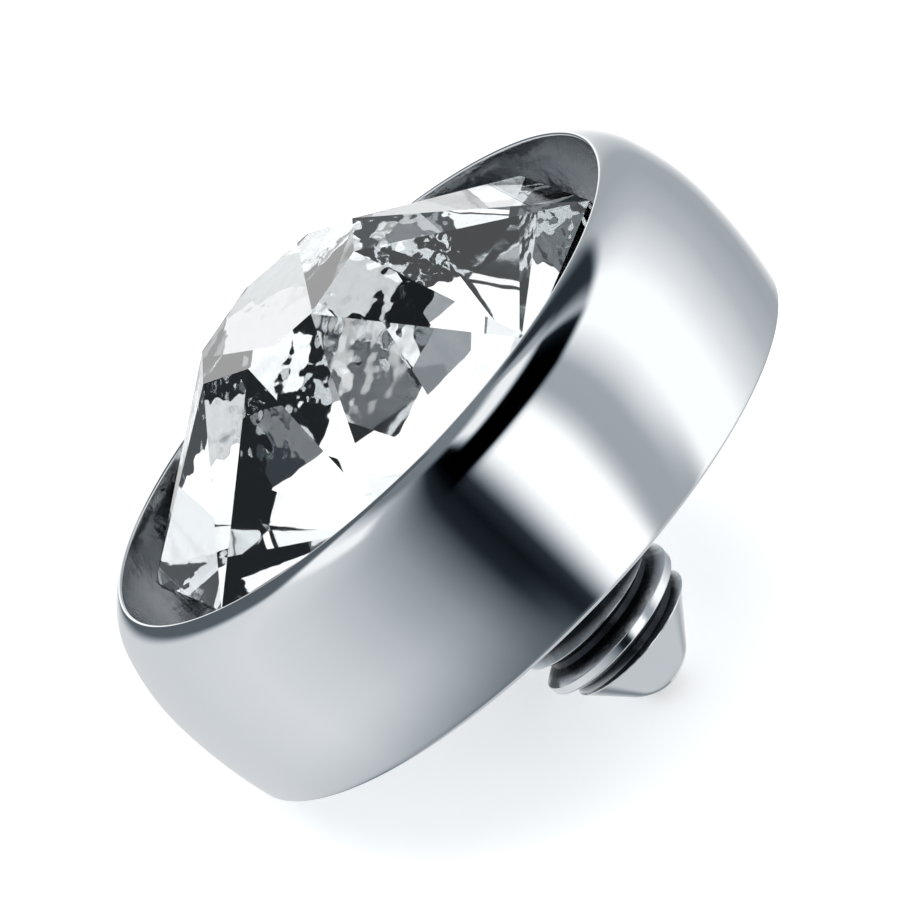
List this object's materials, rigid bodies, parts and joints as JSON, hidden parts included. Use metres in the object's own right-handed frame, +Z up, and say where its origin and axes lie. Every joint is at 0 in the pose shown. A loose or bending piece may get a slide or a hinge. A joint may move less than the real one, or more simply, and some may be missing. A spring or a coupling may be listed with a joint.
{
  "type": "dermal anchor top",
  "caption": "Threaded round top for a dermal anchor: a polished steel cup holding a faceted clear crystal, on a short threaded post.",
  "frame": {"origin": "centre of the bounding box at the floor that the part lies on", "axes": "+Z up from the floor, +X along the level width of the cup, and the crystal leans towards -Y, with the post pointing down towards +Y"},
  "size_m": [0.005, 0.0048, 0.0038],
  "materials": {
    "steel": "mirror-polished surgical steel, unplated",
    "crystal": "clear faceted cubic zirconia, polished, its back mirrored"
  },
  "bodies": {
    "root": {"bezel_cup": "steel", "crystal": "crystal"}
  },
  "joints": []
}
